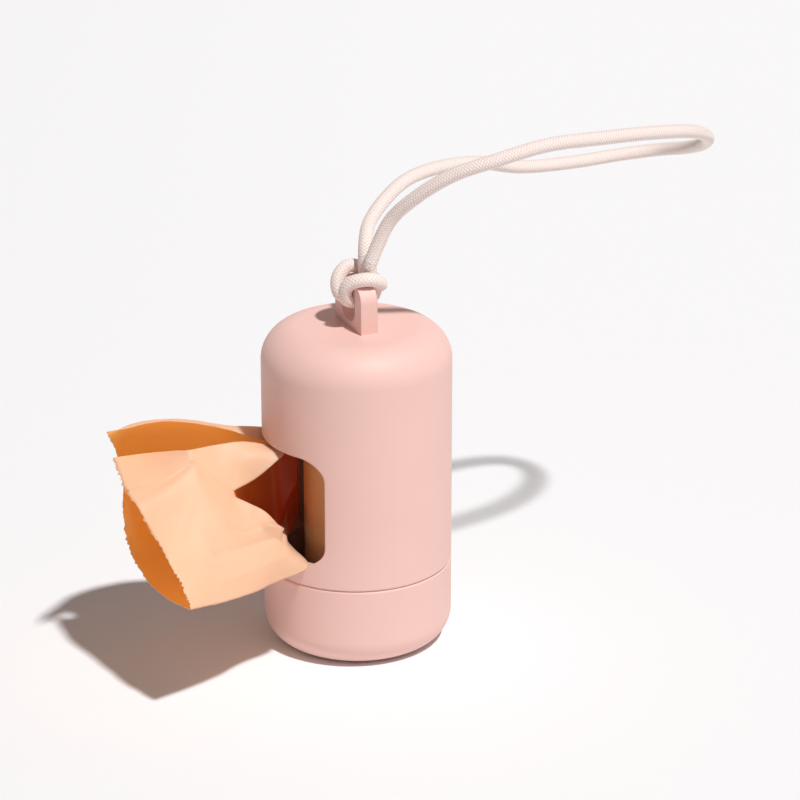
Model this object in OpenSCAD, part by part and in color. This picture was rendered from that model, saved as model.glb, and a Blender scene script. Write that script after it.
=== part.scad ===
// Pocket dispenser for a roll of pet waste bags: a domed case with a side window,
// a screw-off base cap, a roll on a post, a pulled-out bag and a carrying cord.
// Z is up, the window faces -Y, and the origin is the centre of the base.

/* [Case] */
// Outer diameter of the case
body_d = 44; // [40:0.5:60]
// Height of the case without its lug
body_h = 77.2; // [76:0.1:110]
// Wall of the case
wall = 2; // [1.4:0.1:2.6]
// Radius of the dome's shoulder
top_round = 8.1; // [4:0.1:12]
// Height of the seam between case and base cap
seam_z = 20; // [16:0.5:23]
// Chamfer on both edges of the seam
seam_chamfer = 0.35; // [0.1:0.05:0.6]
// Gap between the two edges of the seam
seam_gap = 0.05; // [0.05:0.05:0.3]

/* [Window] */
// Width of the window, measured straight across
window_w = 32.2; // [24:0.2:34]
// Height of the window
window_h = 26.3; // [20:0.1:34]
// Height of the window's lower edge above the seam
window_lift = 5.2; // [4:0.1:8]
// Radius of the window's corners
window_round = 5; // [2:0.5:8]

/* [Cord lug] */
// Length of the lug along X
lug_l = 15; // [13:0.5:20]
// Thickness of the lug
lug_t = 4.1; // [3:0.1:6]
// Height of the lug above the dome
lug_h = 10.8; // [10.5:0.1:14]
// Radius of the lug's top corners
lug_round = 3.5; // [1:0.1:5]
// Width of the slot through the lug
slot_w = 8; // [7.4:0.1:9]
// Height of the slot
slot_h = 6.8; // [6.6:0.1:8]
// Radius of the slot's lower corners
slot_round = 3.2; // [1:0.1:3.3]
// Radius of the slot's upper corners
slot_top_round = 1.8; // [0.6:0.1:1.9]
// Thickness of the bridge above the slot
lug_bridge = 2.5; // [2:0.1:3]

/* [Screw neck] */
// Height of the neck that screws into the cap
neck_h = 7; // [6:0.5:9]
// Wall of the neck
neck_wall = 1.5; // [1:0.1:2]
// Thickness of the ledge that carries the neck
ledge_t = 2; // [1.5:0.1:3]
// Lead of the screw, for one turn
screw_lead = 4; // [3.6:0.2:5]
// Height of the ridges above their wall
ridge_h = 0.8; // [0.5:0.05:1]
// Width of a ridge at its root
ridge_root = 2.2; // [1.6:0.1:2.3]
// Width of a ridge at its crest
ridge_crest = 1.4; // [0.8:0.1:1.6]
// Radial clearance between a ridge and the wall it faces
ridge_clear = 0.25; // [0.15:0.05:0.4]

/* [Base cap] */
// Wall and floor of the cap
cap_wall = 1.8; // [1.4:0.1:2.4]
// Radius of the cap's lower edge
base_round = 6.9; // [3:0.1:9]
// Height of the ring that holds the spindle's foot
socket_h = 2.5; // [1.5:0.1:3]
// Wall of that ring
socket_wall = 1.6; // [1:0.1:2]

/* [Spindle] */
// Diameter of the post
post_d = 12.8; // [10:0.1:14]
// Diameter of the foot
foot_d = 17; // [15:0.5:19]
// Thickness of the foot
foot_t = 2.8; // [2:0.1:4]
// Diameter of the upper tip
tip_d = 10; // [7:0.5:10]
// Length of the tip above the roll
tip_l = 8.5; // [6:0.5:9]
// Gap between the tip and the dome
tip_gap = 3.95; // [2:0.05:6]
// Diameter of the hollow inside the post
post_bore_d = 8.4; // [5:0.2:8.6]
// Wall of the ring under the dome that steadies the tip
top_ring_wall = 1.9; // [1.2:0.1:2.5]
// Depth that the tip reaches into that ring
tip_grip = 5; // [2:0.5:6]
// Radial clearance of the spindle in its foot and tip seats
spindle_clear = 0.08; // [0.02:0.01:0.1]

/* [Bag roll] */
// Diameter of the wound film, partly used
roll_d = 26; // [18:0.5:26]
// Wall of the cardboard core
core_wall = 1.2; // [0.6:0.1:1.8]
// Radial clearance of the core on the post
core_clear = 0.1; // [0.05:0.05:0.3]

/* [Pulled-out bag] */
// Thickness that stands for the layers of film
film_t = 0.6; // [0.3:0.1:0.8]

/* [Cord] */
// Diameter of the braided cord
cord_d = 3.2; // [2:0.1:3.2]

/* [Hidden] */
$fn = 96;

pink = [0.93, 0.74, 0.70];
peach = [0.99, 0.80, 0.62];
cardboard = [0.72, 0.58, 0.42];
nylon_white = [0.92, 0.91, 0.88];
cord_colour = [0.96, 0.87, 0.85];

body_r = body_d / 2;
sink = 0.3;               // how far a ridge or ring reaches into the wall it stands on
run_gap = 0.05;           // axial gap between pieces that turn on each other
cut = 1;                  // how far a cutting tool overshoots

// Neck and cap, from the cap's wall inwards
cap_in_r = body_r - cap_wall;
neck_r = cap_in_r - ridge_h - ridge_clear;
neck_in_r = neck_r - neck_wall;
neck_z = seam_z - neck_h;

// Window
window_z = seam_z + window_lift;

// Spindle and roll, between the cap's floor and the dome; the roll fills the room between the
// foot and the tip, and is as long as a folded bag is wide
foot_z = cap_wall + run_gap;
foot_r = foot_d / 2;
socket_r = foot_r + spindle_clear;
roll_z = foot_z + foot_t + run_gap;
post_r = post_d / 2;
tip_r = tip_d / 2;
tip_top = body_h - wall - tip_gap;
tip_z = tip_top - tip_l;
tip_chamfer = 0.8;
roll_l = tip_z - run_gap - roll_z;
core_in_r = post_r + core_clear;
core_r = core_in_r + core_wall;
wrap_gap = 0.03;          // between the core and the first wrap of film
seat_in_r = tip_r + spindle_clear;
seat_r = seat_in_r + top_ring_wall;
seat_z = tip_top - tip_grip;

// Lug
lug_top = body_h + lug_h;
slot_top = lug_top - lug_bridge;
slot_z = slot_top - slot_h;

// Screw: both ridges follow one helix, half a lead apart
ridge_step = 15;          // degrees between the sections of a ridge
ridge_fade = 30;          // degrees over which a ridge rises at its ends
neck_ridge_z = neck_z + ridge_root / 2 + 0.2;
neck_ridge_turn = 375;
cap_ridge_from = -195;
cap_ridge_to = 165;

// ---- shapes that repeat ----

// Rectangle with rounded corners, centred on x, standing on y = 0
module rounded_rect(w, h, low_r, top_r) {
    translate([-w / 2, low_r]) square([w, h - low_r - top_r]);
    translate([-w / 2 + low_r, 0]) square([w - 2 * low_r, h / 2]);
    translate([-w / 2 + top_r, h / 2]) square([w - 2 * top_r, h / 2]);
    for (side = [-1, 1]) {
        translate([side * (w / 2 - low_r), low_r]) circle(low_r);
        translate([side * (w / 2 - top_r), h - top_r]) circle(top_r);
    }
}

// Solid cylinder with a rounded edge at one end: the edge is at the top
module domed_rod(r, h, round) {
    rotate_extrude() {
        square([r, h - round]);
        square([r - round, h]);
        intersection() {
            translate([r - round, h - round]) circle(round);
            square([r, h]);
        }
    }
}

// Closed tube of rings, from a list of rings with the same count of points
module skin_rings(rings) {
    sides = len(rings[0]);
    last = len(rings) - 1;
    points = [for (ring = rings) for (p = ring) p];
    walls = [for (i = [0:last - 1]) for (j = [0:sides - 1])
        let (a = i * sides + j, b = i * sides + (j + 1) % sides)
        each [[a, a + sides, b + sides], [a, b + sides, b]]];
    start = [[for (j = [0:sides - 1]) j]];
    end = [[for (j = [sides - 1:-1:0]) last * sides + j]];
    polyhedron(points = points, faces = concat(walls, start, end), convexity = 8);
}

// One section of a screw ridge: a trapezium at an angle and a height
function ridge_section(angle, z, root_r, crest_r, root, crest) = [
    for (p = [[root_r, -root / 2], [root_r, root / 2], [crest_r, crest / 2], [crest_r, -crest / 2]])
        [p[0] * cos(angle), p[0] * sin(angle), z + p[1]]];

// Share of the full height of a ridge, rising from and falling to its ends
function ridge_share(angle, from, to) =
    max(0.15, min(1, (angle - from) / ridge_fade, (to - angle) / ridge_fade));

// Screw ridge between two angles; its crest lies at wall_r + rise, which may be inwards
module screw_ridge(from, to, z0, wall_r, rise) {
    side = sign(rise);
    rings = [for (a = [from:ridge_step:to])
        let (share = ridge_share(a, from, to))
        ridge_section(a, z0 + screw_lead * a / 360, wall_r - side * sink, wall_r + rise * share,
            ridge_root, ridge_crest)];
    turned = [for (ring = rings) [ring[3], ring[2], ring[1], ring[0]]];
    skin_rings(side > 0 ? rings : turned);
}

// ---- sweeping a cord ----

function unit(v) = v / norm(v);

// Point at t, from 0 to 1, of the smooth curve through p[i] and p[i + 1]
function smooth_point(p, i, t) =
    let (a = p[max(i - 1, 0)], b = p[i], c = p[i + 1], d = p[min(i + 2, len(p) - 1)])
    0.5 * (2 * b + (c - a) * t + (2 * a - 5 * b + 4 * c - d) * t * t
        + (3 * b - a - 3 * c + d) * t * t * t);

// Smooth route through hand-set points, with a number of steps between each pair
function smooth_route(p, steps) = concat(
    [for (i = [0:len(p) - 2]) for (k = [0:steps - 1]) smooth_point(p, i, k / steps)],
    [p[len(p) - 1]]);

// Direction of a route at each point; the two ends may be given
function route_dirs(p, first, final) = [for (i = [0:len(p) - 1])
    i == 0 ? unit(first) : i == len(p) - 1 ? unit(final) : unit(p[i + 1] - p[i - 1])];

// Side vector at each point, carried along so that the tube doesn't twist
function carried_sides(dirs, side) = [
    for (i = 0, n = side; i < len(dirs);
        i = i + 1, n = i < len(dirs) ? unit(n - (n * dirs[i]) * dirs[i]) : n) n];

cord_sides = 8;
function cord_rings(p, r, first, final, side) =
    let (dirs = route_dirs(p, first, final), sides = carried_sides(dirs, side))
    [for (i = [0:len(p) - 1]) [for (j = [0:cord_sides - 1])
        let (a = 360 * (j + 0.5) / cord_sides)
        p[i] + r * (cos(a) * sides[i] + sin(a) * cross(dirs[i], sides[i]))]];

// ---- pieces ----

module lug() {
    translate([0, lug_t / 2, body_h - sink]) rotate([90, 0, 0]) linear_extrude(lug_t) difference() {
        union() {
            translate([-lug_l / 2, 0]) square([lug_l, lug_h + sink - lug_round]);
            translate([-lug_l / 2 + lug_round, 0]) square([lug_l - 2 * lug_round, lug_h + sink]);
            for (x = [-1, 1]) translate([x * (lug_l / 2 - lug_round), lug_h + sink - lug_round])
                circle(lug_round);
        }
        translate([0, slot_z - body_h + sink]) rounded_rect(slot_w, slot_h, slot_round, slot_top_round);
    }
}

module housing() {
    color(pink) {
        difference() {
            union() {
                // Shell above the seam, with half of the seam's groove on its lower edge
                translate([0, 0, seam_z + seam_chamfer])
                    domed_rod(body_r, body_h - seam_z - seam_chamfer, top_round);
                translate([0, 0, seam_z])
                    cylinder(h = seam_chamfer, r1 = body_r - seam_chamfer, r2 = body_r);
                translate([0, 0, neck_z]) cylinder(h = neck_h + sink, r = neck_r);
            }
            translate([0, 0, seam_z + ledge_t])
                domed_rod(body_r - wall, body_h - wall - seam_z - ledge_t, top_round - wall);
            translate([0, 0, neck_z - cut]) cylinder(h = neck_h + ledge_t + 2 * cut, r = neck_in_r);
            translate([0, 0, window_z]) rotate([90, 0, 0])
                linear_extrude(body_r + cut) rounded_rect(window_w, window_h, window_round, window_round);
        }
        lug();
        // Ring under the dome that steadies the spindle's tip
        translate([0, 0, seat_z]) difference() {
            cylinder(h = body_h - wall + sink - seat_z, r = seat_r);
            translate([0, 0, -cut]) cylinder(h = body_h - wall - seat_z + cut, r = seat_in_r);
        }
        screw_ridge(0, neck_ridge_turn, neck_ridge_z, neck_r, ridge_h);
    }
}

module base_cap() {
    cap_h = seam_z - seam_gap;
    color(pink) {
        difference() {
            union() {
                translate([0, 0, cap_h - seam_chamfer]) mirror([0, 0, 1])
                    domed_rod(body_r, cap_h - seam_chamfer, base_round);
                translate([0, 0, cap_h - seam_chamfer])
                    cylinder(h = seam_chamfer, r1 = body_r, r2 = body_r - seam_chamfer);
            }
            translate([0, 0, cap_h + cut]) mirror([0, 0, 1])
                domed_rod(cap_in_r, cap_h + cut - cap_wall, base_round - cap_wall);
        }
        // Ring that holds the spindle's foot
        translate([0, 0, cap_wall - sink]) difference() {
            cylinder(h = socket_h + sink, r = socket_r + socket_wall);
            translate([0, 0, sink]) cylinder(h = socket_h + cut, r = socket_r);
        }
        screw_ridge(cap_ridge_from, cap_ridge_to, neck_ridge_z + screw_lead / 2, cap_in_r, -ridge_h);
    }
}

module spindle() {
    color(nylon_white) difference() {
        union() {
            translate([0, 0, foot_z]) cylinder(h = foot_t, r = foot_r);
            translate([0, 0, foot_z]) cylinder(h = tip_z - foot_z, r = post_r);
            translate([0, 0, tip_z]) cylinder(h = tip_l - tip_chamfer, r = tip_r);
            translate([0, 0, tip_top - tip_chamfer])
                cylinder(h = tip_chamfer, r1 = tip_r, r2 = tip_r - tip_chamfer);
        }
        translate([0, 0, foot_z - cut]) cylinder(h = tip_top - foot_z - wall + cut, d = post_bore_d);
    }
}

module roll_core() {
    color(cardboard) translate([0, 0, roll_z]) difference() {
        cylinder(h = roll_l, r = core_r);
        translate([0, 0, -cut]) cylinder(h = roll_l + 2 * cut, r = core_in_r);
    }
}

module bag_roll() {
    color(peach) translate([0, 0, roll_z]) difference() {
        cylinder(h = roll_l, d = roll_d);
        translate([0, 0, -cut]) cylinder(h = roll_l + 2 * cut, r = core_r + wrap_gap);
    }
}

// The pulled-out bag: one wide strip of film that opens from the roll into a scoop. Each row
// crosses the film, from the lip over the far side, down the back, along the bottom to the front
// corner, and up the near side to its free edge. The rows run from the roll, through the window,
// to the torn edge.
bag_rows = [
    [[-8.8, -11.2, 47.6], [-9.3, -10.9, 46], [-8.7, -11.3, 43], [-7.8, -11.8, 39.5],
        [-6.8, -12.3, 36.5], [-5.4, -13, 33.5], [-3.2, -13.7, 30.5], [0, -14.1, 28.3],
        [4, -13.9, 27.3], [3.8, -14.4, 29.5], [3.2, -14.7, 32], [2.4, -14.9, 34.5],
        [1.4, -15, 37], [0.2, -15, 39.5], [-1.2, -15, 42], [-4.4, -14.5, 47]],
    [[-9, -19, 49.9], [-11.2, -18.3, 49.2], [-13.5, -17, 46.5], [-14.3, -16.8, 41],
        [-14.3, -16.8, 34], [-13, -17.6, 27.8], [-3.5, -20.5, 26.2], [6, -20.8, 26.2],
        [14, -19.4, 26.4], [14.6, -20.2, 28.6], [14.8, -21.2, 30.8], [14.6, -22, 32.6],
        [14, -22.4, 34.2], [3.5, -18, 38], [4.2, -20.4, 49.8], [-1.5, -21.4, 50.6]],
    [[-12, -27.5, 51.9], [-16, -26.5, 51.3], [-19.5, -26, 47], [-21.5, -25.5, 41],
        [-20, -26, 34], [-15, -26.5, 28], [-4, -27.5, 25], [9, -28, 24.8],
        [19.3, -28, 26], [19, -27.6, 30], [17.6, -27.2, 34], [15.4, -27.2, 37.6],
        [12.6, -27.8, 40.3], [3, -25, 41.5], [5, -27.5, 46.8], [0, -28.5, 53]],
    [[-13, -34.5, 53.8], [-17.5, -34, 53.4], [-22, -34, 48.5], [-24.5, -34, 42],
        [-22.5, -34, 34], [-16.5, -34, 27.5], [-4, -34.5, 24.5], [12, -35, 24.3],
        [23.3, -35, 26.4], [22.2, -34.8, 30.8], [19, -34.4, 35.5], [14, -34, 39.5],
        [8.4, -33.6, 42.6], [5, -33, 44.6], [3.8, -33.5, 47.6], [0, -35, 53]],
    [[-13, -43, 55.5], [-17.5, -42.5, 55.2], [-22, -42.5, 49.5], [-24, -42.5, 42.5],
        [-21.5, -42.5, 34.5], [-15.5, -42.5, 27.5], [-3, -43, 24.3], [14, -43.5, 24.3],
        [27, -43.5, 27.2], [24.6, -43.3, 32], [20.5, -43, 37.5], [14.5, -42.5, 43.5],
        [9.5, -42, 48], [6.6, -42, 50.4], [4.2, -42, 52.2], [1.9, -42, 53.8]],
    [[-13.3, -50, 55.9], [-17.3, -49.5, 55.3], [-20, -49.5, 49.5], [-20.5, -49, 42.5],
        [-18, -49, 34.5], [-12.5, -49, 27.5], [-1, -49.5, 24.5], [15.5, -49.5, 24.6],
        [29, -49, 28], [26.8, -49.6, 32.5], [22, -50, 37.5], [14.5, -50, 43],
        [7, -49.5, 48], [4.4, -49.6, 49.8], [1.6, -49.7, 51.5], [-1.5, -50, 53.3]],
    [[-12.5, -56.3, 56], [-13.5, -55.3, 53.5], [-14.2, -54.2, 48], [-12.5, -54, 42.5],
        [-10.5, -54, 35], [-7, -54, 28.8], [2, -54, 25.6], [17, -53.8, 25.9],
        [30.3, -52.6, 28.5], [28.4, -53.4, 32], [24, -54.6, 36.8], [14.2, -56, 41.6],
        [4, -57.2, 46], [0.6, -57.2, 48], [-2, -57.1, 50], [-5, -57, 52]]];
bag_steps = 2;

function turned_grid(g) = [for (j = [0:len(g[0]) - 1]) [for (row = g) row[j]]];

// Grid with smooth steps between its rows
function fine_rows(g, steps) = turned_grid([for (column = turned_grid(g)) smooth_route(column, steps)]);

function grid_normal(g, i, j) =
    let (rows = len(g) - 1, cols = len(g[0]) - 1,
        along = g[min(i + 1, rows)][j] - g[max(i - 1, 0)][j],
        across = g[i][min(j + 1, cols)] - g[i][max(j - 1, 0)])
    unit(cross(along, across));

// Closed sheet of one thickness about a grid of points; both skins are split along the same
// diagonals, so that they don't cross where the film twists
module sheet(g, t) {
    rows = len(g);
    cols = len(g[0]);
    rings = [for (i = [0:rows - 1]) concat(
        [for (j = [0:cols - 1]) g[i][j] - grid_normal(g, i, j) * t / 2],
        [for (j = [cols - 1:-1:0]) g[i][j] + grid_normal(g, i, j) * t / 2])];
    points = [for (ring = rings) for (p = ring) p];
    sides = 2 * cols;
    walls = [for (i = [0:rows - 2]) for (j = [0:sides - 1])
        let (a = i * sides + j, b = i * sides + (j + 1) % sides)
        each (j < cols ? [[a, a + sides, b + sides], [a, b + sides, b]]
            : [[a, a + sides, b], [a + sides, b + sides, b]])];
    ends = [for (i = [0, rows - 1]) for (j = [0:cols - 2])
        let (a = i * sides + j, b = a + 1, c = i * sides + sides - 2 - j, d = c + 1)
        each (i == 0 ? [[a, b, c], [a, c, d]] : [[a, c, b], [a, d, c]])];
    polyhedron(points = points, faces = concat(walls, ends), convexity = 8);
}

module bag_tail() {
    color(peach) sheet(fine_rows(bag_rows, bag_steps), film_t);
}

// The hitch: two strands lean over the lug's edge, go through the slot under the bridge, spread
// over the lug's top and close in a ring behind the standing strands.
cord_r = cord_d / 2;
cord_gap = 0.12;                       // between the cord and what it lies against
hug = cord_r + cord_gap;
strand_x = cord_r + 0.1;               // half the spacing of the two strands
hitch_x = 0.6;                         // how far along the lug the hitch sits in the slot
top_shift = 0.7;                       // and how much farther over the lug's top
face_y = lug_t / 2 + hug;
ring_r = 2 * cord_r + cord_gap;        // from a standing strand to the ring about it
ring_rise = 1.3;                       // how much higher the ring is behind the strands
// The standing strands from the free loop down to the lug's edge, each [y, z] from that edge
strand_lean = [[0.35, 4.8], [0.15, 3.4], [0.2, 2.3], [0.8, 1.5], [1.55, 0.75]];
ring_y = lug_t / 2 + 0.4;             // the place of the standing strands inside the ring

function hitch_half() = concat(
    [for (p = strand_lean) [strand_x, lug_t / 2 + p[0], lug_top + p[1]]],
    [[strand_x, face_y, lug_top - 0.6]],
    // Round the bridge's lower edges
    [for (a = [0:30:90]) [strand_x, lug_t / 2 + hug * cos(a), slot_top - hug * sin(a)]],
    [[strand_x, 0, slot_top - hug]],
    [for (a = [90:-30:0]) [strand_x, -lug_t / 2 - hug * cos(a), slot_top - hug * sin(a)]],
    // Up and outwards over the bridge's upper edge
    [for (a = [0:30:90]) [strand_x + ring_r * (0.1 + 0.9 * a / 90),
        -lug_t / 2 - hug * cos(a), lug_top + hug * sin(a)]],
    [[strand_x + ring_r, 0, lug_top + hug]],
    // Round the standing strand
    [for (a = [0:30:90]) [strand_x + ring_r * cos(a), ring_y + ring_r * sin(a),
        lug_top + hug + ring_rise * sin(a)]]);

function mirrored_back(p) = [for (i = [len(p) - 1:-1:0]) [-p[i][0], p[i][1], p[i][2]]];

// Moves a point of the hitch along the lug, the more the higher it lies above the slot
function along_lug(p) = let (share = (p[2] - slot_top) / (lug_top - slot_top))
    [p[0] + hitch_x + top_shift * max(0, min(1, share)), p[1], p[2]];

module cord_hitch() {
    crossing = [0, ring_y + ring_r, lug_top + hug + ring_rise];
    route = concat(hitch_half(), [crossing], mirrored_back(hitch_half()));
    color(cord_colour) skin_rings(cord_rings([for (p = route) along_lug(p)], cord_r,
        -loop_start_dir, loop_start_dir, [1, 0, 0]));
}

// The free loop, from the hitch up and out along +Y, round its end and back
loop_start_dir = [0, 0.25, 0.97];
loop_out = [[3.4, 4, 97], [5, 6.5, 103], [10, 11, 109.5], [15, 17.5, 115], [18.5, 25, 118],
    [19.5, 38, 120.5], [18, 52.5, 120], [14.5, 67.5, 118.5], [8.5, 81, 115.5], [-1, 90.5, 110.5]];
loop_back = [[-11, 95, 105.5], [-20, 95.5, 102], [-27, 91.5, 100], [-30, 83, 99], [-29, 69, 99],
    [-25, 53, 101], [-22, 40.5, 104.5], [-17.5, 28, 106], [-13, 18, 105.5], [-9.5, 11, 102.5],
    [-5.8, 5.7, 98.8], [-2, 3.2, 95.5]];

module cord_loop() {
    route = concat([along_lug(hitch_half()[0])], loop_out, loop_back,
        [along_lug(mirrored_back([hitch_half()[0]])[0])]);
    color(cord_colour)
        skin_rings(cord_rings(route, cord_r, loop_start_dir, -loop_start_dir, [1, 0, 0]));
}

housing();
base_cap();
spindle();
roll_core();
bag_roll();
bag_tail();
cord_hitch();
cord_loop();
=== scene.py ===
"""Dispenser for a roll of pet waste bags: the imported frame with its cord, film, roll and finishes."""

import math

import bmesh
import bpy
from bpy.props import FloatProperty, FloatVectorProperty, PointerProperty
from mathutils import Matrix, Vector, noise


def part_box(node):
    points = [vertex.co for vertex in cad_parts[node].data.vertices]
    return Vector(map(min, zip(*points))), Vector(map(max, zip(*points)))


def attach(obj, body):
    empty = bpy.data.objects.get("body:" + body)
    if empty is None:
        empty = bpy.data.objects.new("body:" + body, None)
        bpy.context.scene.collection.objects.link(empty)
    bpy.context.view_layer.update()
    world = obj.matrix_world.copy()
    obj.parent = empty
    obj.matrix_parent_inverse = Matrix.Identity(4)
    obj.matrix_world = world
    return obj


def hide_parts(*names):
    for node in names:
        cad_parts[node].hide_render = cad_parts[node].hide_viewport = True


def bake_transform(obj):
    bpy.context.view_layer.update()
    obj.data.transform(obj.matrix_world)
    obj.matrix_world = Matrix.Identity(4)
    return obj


bl_info = {
    "name": "Waste bag dispenser",
    "version": (1, 0, 0),
    "blender": (4, 5, 0),
    "location": "View3D > Sidebar > Dispenser",
    "description": "Dresses the packed dispenser with its cord, film, roll and finishes",
    "category": "Object",
}

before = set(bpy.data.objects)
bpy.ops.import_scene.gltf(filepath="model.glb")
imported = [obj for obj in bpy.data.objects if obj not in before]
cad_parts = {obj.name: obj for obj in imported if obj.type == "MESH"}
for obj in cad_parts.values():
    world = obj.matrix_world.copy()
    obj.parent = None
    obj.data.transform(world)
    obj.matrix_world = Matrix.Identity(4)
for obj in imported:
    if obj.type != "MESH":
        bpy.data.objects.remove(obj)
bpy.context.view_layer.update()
MM = 0.001


# ---- sizes and colours that a user would change ----


def length(name, description, default, low, high):
    return FloatProperty(
        name=name, description=description, default=default, min=low, max=high,
        subtype="DISTANCE", unit="LENGTH", precision=5,
    )


def colour(name, description, default):
    return FloatVectorProperty(
        name=name, description=description, default=default, min=0.0, max=1.0,
        size=3, subtype="COLOR",
    )


class DispenserSizes(bpy.types.PropertyGroup):
    cord_width: length("Cord width", "Diameter of the braided cord", 0.0032, 0.002, 0.005)
    braid_pitch: length("Braid pitch", "Length of one crossing of the braid", 0.0007, 0.0005, 0.004)
    film_gauge: length("Film gauge", "Thickness of the pulled-out film", 0.00014, 0.00005, 0.0005)
    tear_depth: length("Tear depth", "Depth of the teeth along the torn edge", 0.0006, 0.0, 0.002)
    roll_radius: length("Roll radius", "Outer radius of the partly used roll", 0.013, 0.01, 0.019)
    wrap_gauge: length("Wrap gauge", "Thickness of one folded wrap on the roll", 0.00042, 0.0001, 0.001)


class DispenserColours(bpy.types.PropertyGroup):
    case: colour("Case", "Soft-touch plastic of the case and the base cap", (0.86, 0.56, 0.50))
    film: colour("Film", "Outer side of the bag film", (0.97, 0.805, 0.585))
    rolled_film: colour("Rolled film", "Folded layers of film on the roll", (1.0, 0.62, 0.30))
    # Painted shade: the film's inner side is given a deeper orange than its outer side, for shade and
    # the light that comes through it
    film_inside_shade: colour("Film inside", "Inner side of the bag film", (1.0, 0.74, 0.33))
    # Painted shade: the tuck is given a darker orange for the shade in the pocket
    film_tuck_shade: colour("Film tuck", "Layers of film that lie together in the tuck", (0.98, 0.34, 0.06))
    # Painted shade: the film deep inside the case, by the roll, darkens to this
    film_deep_shade: colour("Deep film", "Film gathered in many layers by the roll", (0.45, 0.07, 0.02))
    film_glow: colour("Film glow", "Light that comes through the film", (1.0, 0.60, 0.22))
    cord: colour("Cord", "Braided cord", (0.94, 0.835, 0.785))
    core: colour("Core", "Cardboard core", (0.45, 0.31, 0.19))
    post: colour("Post", "Moulded post", (0.82, 0.80, 0.76))
    floor: colour("Floor", "Paper under the object", (0.915, 0.93, 0.945))


# ---- shader graphs ----

# Sockets that are read by their place, because others on the node share their name
MIX_SHARE, MIX_LOW, MIX_HIGH = 0, 6, 7
MIX_RESULT = 2
# Outputs of Texture Coordinate and of Light Path
UV_PLACE, OBJECT_PLACE = 2, 3
CAMERA_RAY, GLOSSY_RAY, TRANSMISSION_RAY = 0, 3, 6


class Socket:
    """One output of a shader graph, with arithmetic that adds its Math nodes."""

    def __init__(self, graph, link):
        self.graph = graph
        self.link = link

    def _math(self, operation, *values):
        node = self.graph.node("ShaderNodeMath", {"operation": operation}, *values)
        return node[0]

    def __add__(self, other):
        return self._math("ADD", self, other)

    __radd__ = __add__

    def __sub__(self, other):
        return self._math("SUBTRACT", self, other)

    def __rsub__(self, other):
        return self._math("SUBTRACT", other, self)

    def __mul__(self, other):
        return self._math("MULTIPLY", self, other)

    __rmul__ = __mul__

    def __pow__(self, other):
        return self._math("POWER", self, other)

    def __mod__(self, other):
        return self._math("FLOORED_MODULO", self, other)

    def floor(self):
        return self._math("FLOOR", self)

    def fract(self):
        return self._math("FRACT", self)

    def sin(self):
        return self._math("SINE", self)

    def sqrt(self):
        return self._math("SQRT", self)

    def least(self, other):
        return self._math("MINIMUM", self, other)

    def most(self, other):
        return self._math("MAXIMUM", self, other)


class Graph:
    """The nodes of one material or world."""

    def __init__(self, tree):
        self.tree = tree
        tree.nodes.clear()

    def node(self, kind, settings=None, *values, **named):
        """Adds a node: its settings, then the values or links of its sockets by place or by name."""
        node = self.tree.nodes.new(kind)
        for name, value in (settings or {}).items():
            setattr(node, name, value)
        for i, value in enumerate(values):
            self._set(node.inputs[i], value)
        for name, value in named.items():
            self._set(node.inputs[name.replace("_", " ")], value)
        return [Socket(self, out) for out in node.outputs]

    def _set(self, socket, value):
        if isinstance(value, Socket):
            self.tree.links.new(value.link, socket)
        elif hasattr(value, "__len__") and len(value) == 3 and socket.type == "RGBA":
            socket.default_value = (*value, 1.0)
        else:
            socket.default_value = value

    def mix(self, share, low, high):
        """Mixes two colours."""
        result = self.node("ShaderNodeMix", {"data_type": "RGBA"})[MIX_RESULT]
        for i, value in ((MIX_SHARE, share), (MIX_LOW, low), (MIX_HIGH, high)):
            self._set(result.link.node.inputs[i], value)
        return result

    def noise(self, place, scale, detail, roughness):
        return self.node(
            "ShaderNodeTexNoise", None, Vector=place, Scale=scale, Detail=detail, Roughness=roughness,
        )[0]


def new_material(name):
    material = bpy.data.materials.new(name)
    material.use_nodes = True
    return material, Graph(material.node_tree)


def shade(value, factor):
    """A colour made lighter or darker, in Python."""
    return tuple(min(1.0, channel * factor) for channel in value)


# ---- finishes ----


def soft_touch_plastic(base):
    """Matte moulded plastic with a fine spark-eroded grain and a faintly uneven tone."""
    material, graph = new_material("soft_touch_plastic")
    place = graph.node("ShaderNodeTexCoord")[OBJECT_PLACE]
    cloud = graph.noise(place, scale=45.0, detail=3.0, roughness=0.55)
    grain = graph.noise(place, scale=4200.0, detail=2.0, roughness=0.6)
    tone = graph.mix(cloud, shade(base, 0.965), shade(base, 1.03))
    soft_edge = graph.node("ShaderNodeBevel", {"samples": 6}, Radius=0.0004)[0]
    bump = graph.node(
        "ShaderNodeBump", None, Strength=0.22, Distance=0.00006, Height=grain, Normal=soft_edge,
    )[0]
    surface = graph.node(
        "ShaderNodeBsdfPrincipled", None, Base_Color=tone, Roughness=0.5 + 0.12 * cloud, Normal=bump,
    )[0]
    graph.node("ShaderNodeOutputMaterial", None, surface)
    return material


def moulded_plastic(base):
    """Plain satin plastic of the post."""
    material, graph = new_material("post_plastic")
    place = graph.node("ShaderNodeTexCoord")[OBJECT_PLACE]
    cloud = graph.noise(place, scale=80.0, detail=3.0, roughness=0.5)
    flow = graph.noise(place, scale=900.0, detail=2.0, roughness=0.5)
    bump = graph.node("ShaderNodeBump", None, Strength=0.15, Distance=0.00005, Height=flow)[0]
    surface = graph.node(
        "ShaderNodeBsdfPrincipled", None, Base_Color=graph.mix(cloud, shade(base, 0.96), base),
        Roughness=0.34 + 0.1 * cloud, Normal=bump,
    )[0]
    graph.node("ShaderNodeOutputMaterial", None, surface)
    return material


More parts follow.
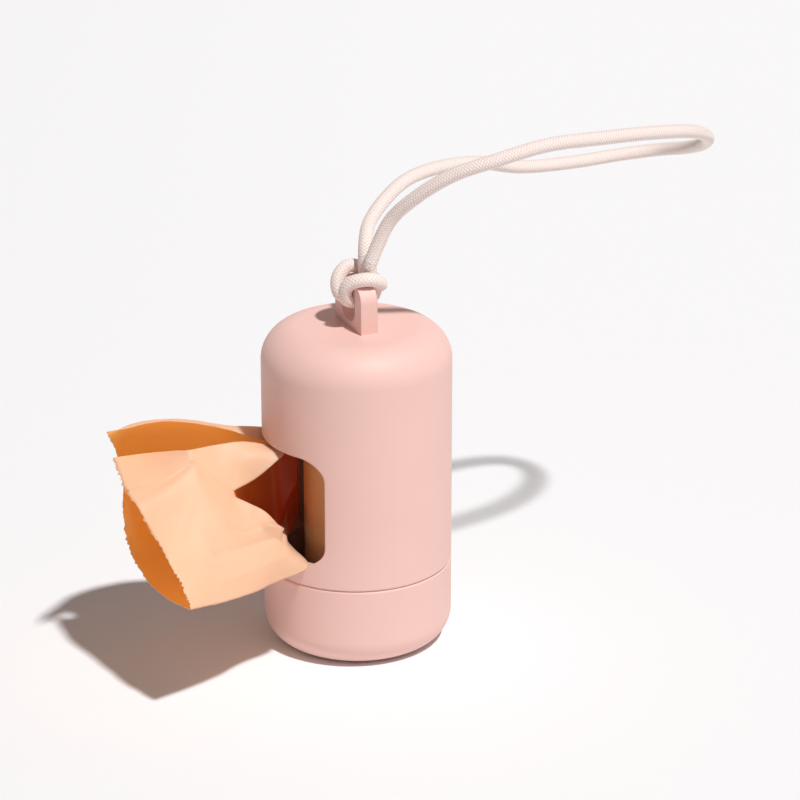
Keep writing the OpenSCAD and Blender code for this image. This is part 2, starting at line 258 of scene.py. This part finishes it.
def core_board(base):
    """Cardboard with fibres and fine flecks."""
    material, graph = new_material("core_board")
    place = graph.node("ShaderNodeTexCoord")[OBJECT_PLACE]
    stretched = graph.node("ShaderNodeMapping", None, Vector=place, Scale=(1.0, 1.0, 0.18))[0]
    fibres = graph.noise(stretched, scale=2600.0, detail=4.0, roughness=0.65)
    fleck = graph.noise(place, scale=900.0, detail=2.0, roughness=0.5)
    tone = graph.mix(fibres, shade(base, 0.72), shade(base, 1.25))
    height = fibres + 0.4 * fleck
    bump = graph.node("ShaderNodeBump", None, Strength=0.5, Distance=0.00008, Height=height)[0]
    surface = graph.node(
        "ShaderNodeBsdfPrincipled", None, Base_Color=tone, Roughness=0.82, Normal=bump,
    )[0]
    graph.node("ShaderNodeOutputMaterial", None, surface)
    return material


EDGE_PITCH = 0.00028  # from one film edge to the next on the roll's ends


def bag_film(name, base, glow, through, lines=0.0, deep_shade=None, reach=0.0, rise=1.0):
    """Thin film: soft sheen, fine creases and warm light through it.

    lines is the height of the film edges on the roll's ends. Painted shade: the tone deepens to the
    deep colour given within reach of the roll's axis, over a length of 1 / rise, and less light comes
    through there.
    """
    material, graph = new_material(name)
    place = graph.node("ShaderNodeTexCoord")[OBJECT_PLACE]
    cloud = graph.noise(place, scale=60.0, detail=3.0, roughness=0.6)
    crease = graph.noise(place, scale=260.0, detail=5.0, roughness=0.62)
    grain = graph.noise(place, scale=2400.0, detail=2.0, roughness=0.5)
    tone = graph.mix(cloud, shade(base, 0.95), shade(base, 1.03))
    height = crease + 0.12 * grain
    x, y, _ = graph.node("ShaderNodeSeparateXYZ", None, place)
    radius = (x * x + y * y).sqrt()
    # Painted shade: darker, and less light through, towards the roll's axis inside the case
    if deep_shade:
        deep = ((reach - radius) * rise).most(0.0).least(1.0)
        tone = graph.mix(deep, tone, deep_shade)
        through = through * (1.0 - deep)
    if lines:
        height = height + lines * (radius * (2 * math.pi / EDGE_PITCH) + 3.0 * cloud).sin()
    bump = graph.node("ShaderNodeBump", None, Strength=0.3, Distance=0.00025, Height=height)[0]
    front = graph.node(
        "ShaderNodeBsdfPrincipled", None, Base_Color=tone, Roughness=0.46 + 0.14 * cloud, Normal=bump,
    )[0]
    if through:
        back = graph.node("ShaderNodeBsdfTranslucent", None, Color=glow, Normal=bump)[0]
        front = graph.node("ShaderNodeMixShader", None, through, front, back)[0]
    graph.node("ShaderNodeOutputMaterial", None, front)
    return material


BRAID_GAP_SHADE = (0.78, 0.71, 0.69)  # painted shade in the gaps between the bundles: how dark it is, red to blue
BRAID_YARNS = 3.0  # in each bundle


def braided_cord(name, base, along, around):
    """Round braid of yarn bundles that pass over and under each other.

    along and around count the crossings in the cord's length and in one turn around it.
    """
    material, graph = new_material(name)
    u, v, _ = graph.node("ShaderNodeSeparateXYZ", None, graph.node("ShaderNodeTexCoord")[UV_PLACE])
    rising = u * along + v * around
    falling = u * along - v * around
    over = (rising.floor() + falling.floor()) % 2.0
    ridge_a = (rising.fract() * math.pi).sin()
    ridge_b = (falling.fract() * math.pi).sin()
    top = over * ridge_a + (1.0 - over) * ridge_b
    run = over * falling.fract() + (1.0 - over) * rising.fract()
    arch = (run * math.pi).sin()
    height = (top ** 0.6) * (0.55 + 0.45 * arch)
    yarns = ((over * rising + (1.0 - over) * falling) * (2 * math.pi * BRAID_YARNS)).sin()
    height = height + 0.06 * yarns
    # Painted shade in the gaps between the bundles, and a faint painted highlight on their tops
    gap_shade = tuple(dark * channel for dark, channel in zip(BRAID_GAP_SHADE, base))
    tone = graph.mix(height, gap_shade, shade(base, 1.06))
    bump = graph.node("ShaderNodeBump", None, Strength=0.55, Distance=0.00016, Height=height)[0]
    surface = graph.node(
        "ShaderNodeBsdfPrincipled", None, Base_Color=tone, Roughness=0.78, Sheen_Weight=0.25,
        Normal=bump,
    )[0]
    graph.node("ShaderNodeOutputMaterial", None, surface)
    return material


# ---- shapes ----

LEAST_GAP = 1e-7  # taken between points that lie together, so that nothing is divided by 0


def dress(name, look):
    """Gives a CAD node its finish."""
    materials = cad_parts[name].data.materials
    materials.clear()
    materials.append(look)


def add_object(name, mesh, looks, body, slot, *nodes):
    """Links a finished mesh as a piece with its looks, riding on a body and standing for CAD nodes."""
    piece = bpy.data.objects.new(name, mesh)
    bpy.context.scene.collection.objects.link(piece)
    for look in looks:
        mesh.materials.append(look)
    if body:
        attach(piece, body)
    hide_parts(*nodes)
    return piece


def in_metres(route):
    return [Vector(place) * MM for place in route]


def smooth_point(a, b, c, d, share):
    """Point between b and c on the smooth curve a, b, c, d, even where their spacing isn't."""
    t1 = max((b - a).length, LEAST_GAP) ** 0.5
    t2 = t1 + max((c - b).length, LEAST_GAP) ** 0.5
    t3 = t2 + max((d - c).length, LEAST_GAP) ** 0.5
    t = t1 + (t2 - t1) * share
    a1 = a.lerp(b, t / t1)
    a2 = b.lerp(c, (t - t1) / (t2 - t1))
    a3 = c.lerp(d, (t - t2) / (t3 - t2))
    b1 = a1.lerp(a2, t / t2)
    b2 = a2.lerp(a3, (t - t1) / (t3 - t1))
    return b1.lerp(b2, (t - t1) / (t2 - t1))


def smooth_line(points, steps, creases=()):
    """Finer points on a smooth curve through points; it turns sharply at the places in creases."""
    line = []
    for i in range(len(points) - 1):
        b, c = points[i], points[i + 1]
        a = points[i - 1] if i > 0 and i not in creases else b + (b - c)
        d = points[i + 2] if i + 2 < len(points) and i + 1 not in creases else c + (c - b)
        line += [smooth_point(a, b, c, d, k / steps) for k in range(steps)]
    return line + [points[-1]]


def even_line(points, gap):
    """The same line with its points an even gap apart, and its length."""
    lengths = [0.0]
    for a, b in zip(points, points[1:]):
        lengths.append(lengths[-1] + (b - a).length)
    count = max(2, round(lengths[-1] / gap))
    line, i = [], 0
    for k in range(count + 1):
        goal = lengths[-1] * k / count
        while i < len(points) - 2 and lengths[i + 1] < goal:
            i += 1
        span = max(lengths[i + 1] - lengths[i], LEAST_GAP)
        line.append(points[i].lerp(points[i + 1], (goal - lengths[i]) / span))
    return line, lengths[-1]


def cord_mesh(name, route, radius, width):
    """A tube along a route as a mesh, with its UV map along and around it.

    width gives its width at each share of the route, where 1 is the full width.
    """
    curve = bpy.data.curves.new(name, "CURVE")
    curve.dimensions = "3D"
    curve.bevel_depth = radius
    curve.bevel_resolution = 7
    curve.use_fill_caps = True
    spline = curve.splines.new("POLY")
    spline.points.add(len(route) - 1)
    for i, (point, place) in enumerate(zip(spline.points, route)):
        point.co = (*place, 1.0)
        point.radius = width(i / (len(route) - 1))
    drawn = bpy.data.objects.new(name, curve)
    bpy.context.scene.collection.objects.link(drawn)
    graph = bpy.context.evaluated_depsgraph_get()
    mesh = bpy.data.meshes.new_from_object(drawn.evaluated_get(graph))
    bpy.data.objects.remove(drawn)
    bpy.data.curves.remove(curve)
    mesh.name = name
    mesh.shade_smooth()
    return mesh


# ---- the cord ----

CORD_STEP = 0.0007  # between the rings of its tube
BRAID_AROUND = 8.0  # crossings in one turn around the cord
HITCH_END = 0.03  # share of the hitch at each end that lies inside the loop's strands
HITCH_END_WIDTH = 0.96

# The free loop, from the hitch up and out along +Y, round its end and back, in millimetres
LOOP_ROUTE = [
    (3.0, 2.4, 92.8), (3.4, 4, 97), (5, 6.5, 103), (10, 11, 109.5), (15, 17.5, 115),
    (18.5, 25, 118), (19.5, 38, 120.5), (18, 52.5, 120), (14.5, 67.5, 118.5), (8.5, 81, 115.5),
    (-1, 90.5, 110.5), (-11, 95, 105.5), (-20, 95.5, 102), (-27, 91.5, 100), (-30, 83, 99),
    (-29, 69, 99), (-25, 53, 101), (-22, 40.5, 104.5), (-17.5, 28, 106), (-13, 18, 105.5),
    (-9.5, 11, 102.5), (-5.8, 5.7, 98.8), (-2, 3.2, 95.5), (-0.4, 2.4, 92.8),
]

# The hitch, pulled tight on the lug: from one strand down the far face, through the slot, up the near
# face, over the top, behind the strands, and back the same way to the other strand, in millimetres
HITCH_ROUTE = [
    (3.1, 2.8, 94), (3.0, 2.4, 92.8), (2.7, 2.2, 91.6), (2.3, 2.5, 90), (2.1, 3.2, 88),
    (2.1, 3.7, 86), (2.1, 3.5, 84.8), (2.1, 2.2, 83.9), (2.1, 0, 83.8), (2.1, -2.2, 83.9),
    (2.3, -3.5, 84.8), (2.6, -3.8, 86.2), (3.3, -3.6, 87.9), (4.4, -2.4, 89.2), (5.3, -0.8, 89.7),
    (5.6, 0.8, 89.7), (5.3, 2.3, 89.2), (4.4, 3.8, 88.1), (2.9, 4.8, 87.1), (1, 5.2, 86.7),
    (-1.2, 5, 87), (-2.9, 4.3, 88), (-3.9, 3, 89.2), (-4.1, 1.3, 89.9), (-3.7, -0.4, 90.2),
    (-3.2, -1.9, 89.7), (-2.6, -3.2, 88.5), (-2, -3.8, 87), (-1.5, -3.8, 85.6), (-1.3, -3.4, 84.6),
    (-1.2, -2.2, 83.9), (-1.2, 0, 83.8), (-1.2, 2.2, 83.9), (-1.2, 3.5, 84.8), (-1.1, 3.7, 86),
    (-0.9, 3.2, 88), (-0.6, 2.5, 90), (-0.5, 2.3, 91.5), (-0.4, 2.4, 92.8), (-1, 2.7, 94),
]


def full_width(share):
    return 1.0


def hitch_width(share):
    return HITCH_END_WIDTH if share < HITCH_END or share > 1.0 - HITCH_END else 1.0


# ---- the film ----

# The strip of film. Each row crosses it, from the lip over the far side, down the back, along the
# bottom to the front corner, up the near side to its free edge, in and out of the tuck, and over the
# upper fold to the near top edge. The rows run from the roll, through the window, to the torn edge.
# In millimetres.
FILM_ROWS = [
    [(-8.8, -10.9, 47.6), (-9, -10.8, 46), (-9, -10.8, 43), (-8.9, -10.9, 39.5), (-8.8, -11, 36.5),
     (-8.6, -11.1, 33.5), (-8.3, -11.3, 31), (-7.8, -11.6, 29.3), (-7.2, -11.9, 28.6),
     (-7, -12, 30), (-7, -12, 32), (-7, -12, 34.5), (-7, -12, 37), (-7.1, -12, 38.2),
     (-7.2, -12, 39.5), (-7.3, -11.9, 40.8), (-7.4, -11.9, 42), (-7.7, -11.7, 44.5),
     (-8.1, -11.4, 47)],
    [(-8.9, -15, 48.8), (-10, -14.6, 47.6), (-11.2, -13.9, 44.8), (-11.6, -13.8, 40.2),
     (-11.5, -13.9, 35.2), (-10.8, -14.4, 30.6), (-6.5, -16.5, 27.8), (-1.5, -17.2, 27.2),
     (1.5, -18.5, 26.6), (1, -18.6, 27.9), (0.4, -18.6, 29), (-0.3, -18.6, 30.2),
     (-0.9, -18.5, 31.6), (-2, -17.5, 31.5), (-5, -16.5, 31.5), (-7.5, -16.3, 44),
     (-2.5, -16.3, 49), (-3.2, -16.5, 49.4), (-5, -16.5, 49.8)],
    [(-6.6, -19.6, 49.2), (-10.6, -18.5, 50.8), (-13.5, -17, 46.5), (-14.3, -16.8, 41),
     (-14.3, -16.8, 34), (-13, -17.6, 27.8), (-3.5, -20.5, 26.2), (7, -20.3, 26.2),
     (15.3, -18.6, 26.3), (15.2, -20, 28.2), (14.8, -22, 30.2), (14.5, -23.4, 32.2),
     (13.6, -23.7, 34.5), (6.5, -21.5, 28.3), (-5, -18.5, 28.5), (-8, -18.5, 44),
     (4.2, -20.4, 49.8), (2, -21.2, 50.5), (-1.5, -21.4, 50.6)],
    [(-10.6, -27.8, 51.8), (-15.4, -26.7, 50.9), (-19.5, -26, 47), (-21.5, -25.5, 41),
     (-20, -26, 34), (-15, -26.5, 28), (-4, -27.5, 25), (9, -28, 24.8), (19.3, -28, 26),
     (19, -27.6, 30), (17.6, -27.2, 34), (15.4, -27.2, 37.6), (12.6, -27.8, 40.3), (9, -26.5, 33.5),
     (-3, -25.5, 31), (-4.5, -25.5, 43), (5, -27.5, 45.4), (3.5, -27.8, 50.4), (0, -28.5, 53)],
    [(-10.7, -35.5, 54.7), (-16.8, -34.2, 52.9), (-22, -34, 48.5), (-24.5, -34, 42),
     (-22.5, -34, 34), (-16.5, -34, 27.5), (-4, -34.5, 24.5), (12, -35, 24.3), (23.3, -35, 26.4),
     (22.2, -34.8, 30.8), (19, -34.4, 35.5), (14, -34, 39.5), (7.6, -33.3, 43), (7.1, -33.2, 43.1),
     (6.7, -33.1, 43.3), (6.4, -33.1, 43.6), (6.1, -33, 44), (3, -34, 49), (0, -35, 53.2)],
    [(-8, -45.2, 57.7), (-15.5, -43.1, 54.9), (-21.2, -42.8, 49.6), (-22, -43.4, 43.4),
     (-19, -43.6, 35.6), (-15.5, -42.5, 27.5), (-3, -43, 24.3), (14, -43.5, 24.3),
     (27, -43.5, 27.2), (24.6, -43.3, 32), (20.5, -43, 37.5), (13.5, -42.5, 44.5), (4, -42, 52.2),
     (3.7, -42, 52.4), (3.4, -42, 52.6), (3.1, -42, 52.8), (2.8, -42, 53), (2.4, -42, 53.4),
     (1.9, -42, 53.8)],
    [(-4.4, -53.9, 58.9), (-13, -51.1, 55.7), (-17.6, -50.5, 50.4), (-16.2, -50.9, 44.3),
     (-12, -51.6, 37.1), (-8.2, -50.9, 29.3), (-1, -49.5, 24.5), (15.5, -49.5, 24.6), (29, -49, 28),
     (26.8, -49.6, 32.5), (22, -50, 37.5), (14.5, -50, 43), (5.5, -49.5, 49), (3.7, -49.3, 49.6),
     (1.9, -49.1, 50.2), (0.1, -48.9, 50.7), (-1.7, -48.6, 51.1), (-3.5, -48.4, 51.4),
     (-5.4, -48.1, 51.5)],
    [(-1.5, -59.9, 60), (-9.4, -56.9, 54.8), (-14, -53.5, 48), (-12, -53.1, 42.5), (-10.5, -54, 35),
     (-7, -54, 28.8), (2, -54, 25.6), (17, -53.8, 25.9), (30.3, -52.6, 28.5), (28.4, -53.4, 32),
     (24, -54.6, 36.8), (14.2, -56, 41.6), (3.2, -57.7, 47.3), (1.4, -57.6, 47.9),
     (-0.4, -57.5, 48.5), (-2.2, -57.3, 49.1), (-4, -57.1, 49.7), (-5.8, -56.9, 50.3),
     (-7.6, -56.7, 50.9)],
]
# Columns that the film folds at: the front corner, the near side's free edge and the upper fold
FILM_CREASES = (8, 12, 16)
# Columns between which it is tucked, the row up to which the tuck is painted darker for shade, and
# the rows where the tuck and then the upper fold open out
TUCK = (12, 16)
TUCK_SHADE_TO = 4
TUCK_OPENS = (4, 5)
UPPER_FOLD_OPENS = (5,)
# Steps from row to row and from column to column
FILM_ALONG = 10
FILM_ACROSS = 12

CRUMPLE = 0.00012  # how far the fine crumples move the film
ZIGZAG = 0.35  # how much of the teeth's depth every other column of the torn edge stands out by

# Places of two looks in the film's mesh, after the outside's: the inside, painted a deeper orange
# for shade, and the tuck, painted darker for shade
INSIDE, SHADED_TUCK = 1, 2

# Small folds pressed into the near side: the places that each one passes, as row and column, then how
# far it goes into the bag, or out where it is below 0, and how wide it is, in millimetres
FILM_FOLDS = [
    (((2.5, 11.5), (2.9, 11.1), (3.3, 10.8)), -1.4, 0.75),
    (((3.2, 10.9), (4, 10.5), (4.6, 10.4)), -1.0, 1.0),
    (((2.4, 10.8), (2.9, 10.5), (4, 10.1), (5, 9.8)), 0.9, 0.9),
    (((4.7, 10.3), (5.3, 10.3)), -0.5, 0.6),
    (((4.5, 10), (4.9, 9.8)), -0.35, 0.6),
    (((3.5, 11.8), (3.7, 11.3)), 0.4, 0.6),
    (((5, 12), (6, 12), (7, 12)), 0.4, 1.1),
    (((5, 11.8), (6, 11.72), (7, 11.6)), -0.7, 1.1),
    (((4.8, 11.8), (5.6, 11), (6.9, 10)), 0.25, 1.5),
    (((2.6, 9.6), (3.5, 9.2), (5, 8.8)), -0.3, 1.3),
]


def turned(grid):
    return [list(column) for column in zip(*grid)]


def opens_at(column):
    """Rows where the film turns sharply along one of its columns."""
    if column < TUCK[0]:
        return ()
    return TUCK_OPENS if column <= TUCK[1] else UPPER_FOLD_OPENS


def film_grid():
    """Positions on the film, with smooth steps both ways and its folds kept sharp."""
    columns = turned([in_metres(row) for row in FILM_ROWS])
    rows = turned([smooth_line(line, FILM_ALONG, opens_at(j)) for j, line in enumerate(columns)])
    return [smooth_line(row, FILM_ACROSS, FILM_CREASES) for row in rows]


def fold_lines(grid):
    """The small folds, each with its depth, its width and its stops on the film."""
    folds = []
    for stops, depth, width in FILM_FOLDS:
        spots = [grid[round(row * FILM_ALONG)][round(column * FILM_ACROSS)] for row, column in stops]
        folds.append((depth * MM, width * MM, spots))
    return folds


def folded(place, normal, folds):
    """A point of the film, moved by the run of each small fold that moves it most."""
    moves = []
    for depth, width, spots in folds:
        most = 0.0
        last = len(spots) - 2
        for k in range(last + 1):
            start, run = spots[k], spots[k + 1] - spots[k]
            share = (place - start).dot(run) / run.length_squared
            fade = 1.0
            if share < 0.0 and k == 0:
                fade = math.exp(-((share * run.length / width) ** 2))
            elif share > 1.0 and k == last:
                fade = math.exp(-(((share - 1.0) * run.length / width) ** 2))
            away = (place - start - run * max(0.0, min(1.0, share))).length / width
            move = depth * fade * math.exp(-away)
            if abs(move) > abs(most):
                most = move
        moves.append(most)
    return place + normal * sum(moves)


def torn(column):
    """How far a column stands out at the torn edge, as a share of the teeth's depth."""
    tooth = noise.noise(Vector((column * 0.93, 3.1, 0.4))) + (ZIGZAG if column % 2 else -ZIGZAG)
    wander = noise.noise(Vector((column * 0.13, 8.0, 1.0)))
    return 0.8 * tooth + 0.5 * wander


def film_mesh(tear_depth):
    """The strip of film as one sheet of quads, finely creased, with small teeth along its torn edge."""
    grid = film_grid()
    rows, columns = len(grid), len(grid[0])
    folds = fold_lines(grid)
    near_side = range(FILM_CREASES[0] * FILM_ACROSS + 1, TUCK[0] * FILM_ACROSS + 1)
    tucked = range(TUCK[0] * FILM_ACROSS, TUCK[1] * FILM_ACROSS)
    film = bmesh.new()
    bmesh.ops.create_grid(film, x_segments=columns - 1, y_segments=rows - 1, size=1.0)
    order = sorted(film.verts, key=lambda v: (round(v.co.y, 5), v.co.x))
    for i in range(rows):
        for j in range(columns):
            place = grid[i][j]
            across = grid[i][min(j + 1, columns - 1)] - grid[i][max(j - 1, 0)]
            along = grid[min(i + 1, rows - 1)][j] - grid[max(i - 1, 0)][j]
            normal = along.cross(across).normalized()
            crumple = noise.fractal(place * 190.0, 0.9, 2.1, 4) + 0.5 * noise.noise(place * 95.0)
            if j in near_side:
                place = folded(place, normal, folds)
            place = place + normal * CRUMPLE * crumple
            if i == rows - 1:
                place = place + along.normalized() * tear_depth * torn(j)
            order[i * columns + j].co = place
    for k, vert in enumerate(order):
        vert.index = k
    # Painted shade: faces of the tuck near the roll take its darker look
    for face in film.faces:
        i, j = divmod(min(vert.index for vert in face.verts), columns)
        if i < TUCK_SHADE_TO * FILM_ALONG and j in tucked:
            face.material_index = SHADED_TUCK
    mesh = bpy.data.meshes.new("film_strip")
    film.to_mesh(mesh)
    film.free()
    mesh.shade_smooth()
    return mesh


# ---- the roll ----

ROLL_INNER = 0.00785  # radius to the middle of the first wrap
ROLL_WRAPS = 9
ROLL_STEPS = 60  # in each wrap
ROLL_LEVELS = 14  # up its height
ROLL_START = -2.2  # angle that the first wrap starts at, in radians
ROLL_WAVE = 0.00008  # how far the wraps bulge in and out
ROLL_INSET = 0.0003  # least distance from the film's edges to the CAD roll's ends
ROLL_RAGGED = 0.00035  # how much more it is where the edges lie lowest


def roll_point(share, level, outer, low, high):
    """A point on the wound film, at a share of its length and a level between its two edges."""
    angle = share * ROLL_WRAPS * 2 * math.pi
    radius = ROLL_INNER + (outer - ROLL_INNER) * share
    radius += ROLL_WAVE * noise.noise(Vector((angle * 0.55, level * 3.0, 2.0)))
    edge = 5.0 if level > 0.5 else 9.0
    inset = ROLL_INSET + ROLL_RAGGED * abs(noise.noise(Vector((angle * 0.35, edge, 0.0))))
    z = low + inset + (high - low - 2 * inset) * level
    turn = angle + ROLL_START
    return Vector((radius * math.cos(turn), radius * math.sin(turn), z))


# ---- the camera and the light ----

CAMERA_PLACE = (622.3, -264.2, 324.4)  # in millimetres
CAMERA_AIM = (-0.8512, 0.3763, -0.3659)
CAMERA_LENS = 141.8
CAMERA_SENSOR = 36.0

SUN_AIM = (-0.468, -0.125, -0.875)
SUN_POWER = 3.0
SUN_ANGLE = math.radians(3.5)

# The room as a level and a tint: its light on the object, and how much more of it is seen
ROOM_LEVEL, ROOM_TINT = 0.195, (1.0, 0.83, 0.77)
SEEN_LEVEL, SEEN_TINT = 0.735, (0.99, 0.99, 1.0)

FLOOR_SIZE = 6.0
FLOOR_FALLOFF_TONE = 0.9  # the paper's darkest tone, where painted shade stands for light falling off across it
# How much of that painted shade it has at the origin, and gains with each metre towards -X and -Y
FALLOFF_START, FALLOFF_X, FALLOFF_Y = 0.05, 0.75, 1.6


def turned_to(aim):
    """The rotation of a camera or lamp that looks along aim."""
    return Vector(aim).to_track_quat("-Z", "Y").to_euler()


# ---- operators ----


class Builder:
    """What the operators share."""

    bl_options = {"REGISTER", "UNDO"}

    @property
    def sizes(self):
        return bpy.context.scene.dispenser_sizes

    @property
    def colours(self):
        return bpy.context.scene.dispenser_colours


class DISPENSER_OT_camera(Builder, bpy.types.Operator):
    """Puts the camera at the photograph's viewing angle"""

    bl_idname = "dispenser.camera"
    bl_label = "Camera"

    def execute(self, context):
        data = bpy.data.cameras.new("camera")
        data.sensor_width = CAMERA_SENSOR
        data.lens = CAMERA_LENS
        camera = bpy.data.objects.new("camera", data)
        context.scene.collection.objects.link(camera)
        camera.location = Vector(CAMERA_PLACE) * MM
        camera.rotation_euler = turned_to(CAMERA_AIM)
        context.scene.camera = camera
        return {"FINISHED"}


class DISPENSER_OT_cord(Builder, bpy.types.Operator):
    """Makes the braided carrying loop and its hitch on the lug"""

    bl_idname = "dispenser.cord"
    bl_label = "Cord"

    def execute(self, context):
        radius = self.sizes.cord_width / 2
        pitch = self.sizes.braid_pitch
        base = self.colours.cord
        loop_line, loop_length = even_line(smooth_line(in_metres(LOOP_ROUTE), steps=10), CORD_STEP)
        hitch_line, hitch_length = even_line(smooth_line(in_metres(HITCH_ROUTE), steps=8), CORD_STEP)
        loop_look = braided_cord("braided_cord", base, loop_length / pitch, BRAID_AROUND)
        hitch_look = braided_cord("braided_cord_hitch", base, hitch_length / pitch, BRAID_AROUND)
        hitch = add_object(
            "hitch", cord_mesh("hitch", hitch_line, radius, hitch_width), (hitch_look,),
            "case", "braided_cord", "cord_hitch",
        )
        loop = add_object(
            "carry_loop", cord_mesh("carry_loop", loop_line, radius, full_width), (loop_look,),
            "case", "braided_cord", "cord_loop",
        )
        return {"FINISHED"}


class DISPENSER_OT_case(Builder, bpy.types.Operator):
    """Finishes the case and the base cap in soft-touch plastic"""

    bl_idname = "dispenser.case"
    bl_label = "Case and base cap"

    def execute(self, context):
        look = soft_touch_plastic(self.colours.case)
        dress("housing", look)
        dress("base_cap", look)
        return {"FINISHED"}


class DISPENSER_OT_post(Builder, bpy.types.Operator):
    """Finishes the post and the cardboard core"""

    bl_idname = "dispenser.post"
    bl_label = "Post and core"

    def execute(self, context):
        dress("spindle", moulded_plastic(self.colours.post))
        dress("roll_core", core_board(self.colours.core))
        return {"FINISHED"}


class DISPENSER_OT_roll(Builder, bpy.types.Operator):
    """Winds the roll of folded bags"""

    bl_idname = "dispenser.roll"
    bl_label = "Bag roll"

    def execute(self, context):
        low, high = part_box("bag_roll")
        outer = self.sizes.roll_radius - self.sizes.wrap_gauge
        roll = bmesh.new()
        bmesh.ops.create_grid(roll, x_segments=ROLL_WRAPS * ROLL_STEPS, y_segments=ROLL_LEVELS, size=1.0)
        for vert in roll.verts:
            share, level = vert.co.x / 2 + 0.5, vert.co.y / 2 + 0.5
            vert.co = roll_point(share, level, outer, low.z, high.z)
        mesh = bpy.data.meshes.new("wound_roll")
        roll.to_mesh(mesh)
        roll.free()
        mesh.shade_smooth()
        colours = self.colours
        look = bag_film("rolled_film", colours.rolled_film, colours.film_glow, through=0.0, lines=0.25)
        piece = add_object("wound_roll", mesh, (look,), "roll", "peach_film", "bag_roll")
        wall = piece.modifiers.new("wrap", "SOLIDIFY")
        wall.thickness = self.sizes.wrap_gauge
        wall.offset = 0.0
        return {"FINISHED"}


class DISPENSER_OT_bag(Builder, bpy.types.Operator):
    """Makes the pulled-out bag of thin film"""

    bl_idname = "dispenser.bag"
    bl_label = "Pulled-out bag"

    def execute(self, context):
        colours = self.colours
        glow, deep_shade = colours.film_glow, colours.film_deep_shade
        # Painted shade: the inside is a deeper orange and the tuck darker than the outside, and all
        # three darken inside the case
        outside = bag_film(
            "bag_film", colours.film, glow, through=0.42, deep_shade=deep_shade, reach=0.0205, rise=250.0,
        )
        inside = bag_film(
            "bag_film_inside", colours.film_inside_shade, glow, through=0.48, deep_shade=deep_shade, reach=0.03,
            rise=80.0,
        )
        tuck = bag_film(
            "bag_film_tuck", colours.film_tuck_shade, glow, through=0.15, deep_shade=deep_shade, reach=0.03,
            rise=80.0,
        )
        mesh = film_mesh(self.sizes.tear_depth)
        looks = (outside, inside, tuck)
        piece = add_object("bag_film_strip", mesh, looks, None, "peach_film", "bag_tail")
        wall = piece.modifiers.new("gauge", "SOLIDIFY")
        wall.thickness = self.sizes.film_gauge
        wall.offset = 0.0
        wall.material_offset = INSIDE
        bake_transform(piece)
        return {"FINISHED"}


class DISPENSER_OT_stage(Builder, bpy.types.Operator):
    """Lays the pale floor, and sets the sun and the room's light"""

    bl_idname = "dispenser.stage"
    bl_label = "Stage"

    def execute(self, context):
        scene = context.scene
        scene.view_settings.view_transform = "Standard"
        floor = bmesh.new()
        bmesh.ops.create_grid(floor, x_segments=1, y_segments=1, size=FLOOR_SIZE)
        mesh = bpy.data.meshes.new("floor")
        floor.to_mesh(mesh)
        floor.free()
        stage = bpy.data.objects.new("floor", mesh)
        scene.collection.objects.link(stage)
        material, graph = new_material("floor_paper")
        place = graph.node("ShaderNodeTexCoord")[OBJECT_PLACE]
        x, y, _ = graph.node("ShaderNodeSeparateXYZ", None, place)
        # Painted shade: the paper darkens towards -X and -Y, for light falling off across it
        dim = (y * -FALLOFF_Y - x * FALLOFF_X + FALLOFF_START).most(0.0).least(1.0)
        tone = graph.mix(dim, self.colours.floor, shade(self.colours.floor, FLOOR_FALLOFF_TONE))
        surface = graph.node("ShaderNodeBsdfPrincipled", None, Base_Color=tone, Roughness=0.9)[0]
        graph.node("ShaderNodeOutputMaterial", None, surface)
        mesh.materials.append(material)

        data = bpy.data.lights.new("key", "SUN")
        data.energy = SUN_POWER
        data.angle = SUN_ANGLE
        key = bpy.data.objects.new("key", data)
        scene.collection.objects.link(key)
        key.rotation_euler = turned_to(SUN_AIM)

        world = bpy.data.worlds.new("room")
        scene.world = world
        world.use_nodes = True
        graph = Graph(world.node_tree)
        ray = graph.node("ShaderNodeLightPath")
        seen = ray[CAMERA_RAY].most(ray[GLOSSY_RAY]).most(ray[TRANSMISSION_RAY])
        level = ROOM_LEVEL + seen * SEEN_LEVEL
        tint = graph.mix(seen, ROOM_TINT, SEEN_TINT)
        back = graph.node("ShaderNodeBackground", None, tint, level)[0]
        graph.node("ShaderNodeOutputWorld", None, back)
        return {"FINISHED"}


class DISPENSER_PT_panel(bpy.types.Panel):
    """Lists the pieces with their sizes and colours"""

    bl_idname = "DISPENSER_PT_panel"
    bl_label = "Waste bag dispenser"
    bl_space_type = "VIEW_3D"
    bl_region_type = "UI"
    bl_category = "Dispenser"

    def draw(self, context):
        for group in (context.scene.dispenser_sizes, context.scene.dispenser_colours):
            box = self.layout.box()
            for name in group.__annotations__:
                box.prop(group, name)
        for operator in OPERATORS:
            self.layout.operator(operator.bl_idname)


OPERATORS = (
    DISPENSER_OT_camera, DISPENSER_OT_cord, DISPENSER_OT_case, DISPENSER_OT_post, DISPENSER_OT_roll,
    DISPENSER_OT_bag, DISPENSER_OT_stage,
)
CLASSES = (DispenserSizes, DispenserColours, *OPERATORS, DISPENSER_PT_panel)


def register():
    for each in CLASSES:
        bpy.utils.register_class(each)
    bpy.types.Scene.dispenser_sizes = PointerProperty(type=DispenserSizes)
    bpy.types.Scene.dispenser_colours = PointerProperty(type=DispenserColours)


def unregister():
    del bpy.types.Scene.dispenser_colours
    del bpy.types.Scene.dispenser_sizes
    for each in reversed(CLASSES):
        bpy.utils.unregister_class(each)


def main():
    register()
    for name in ("camera", "cord", "case", "post", "roll", "bag", "stage"):
        getattr(bpy.ops.dispenser, name)()


if __name__ == "__main__":
    main()
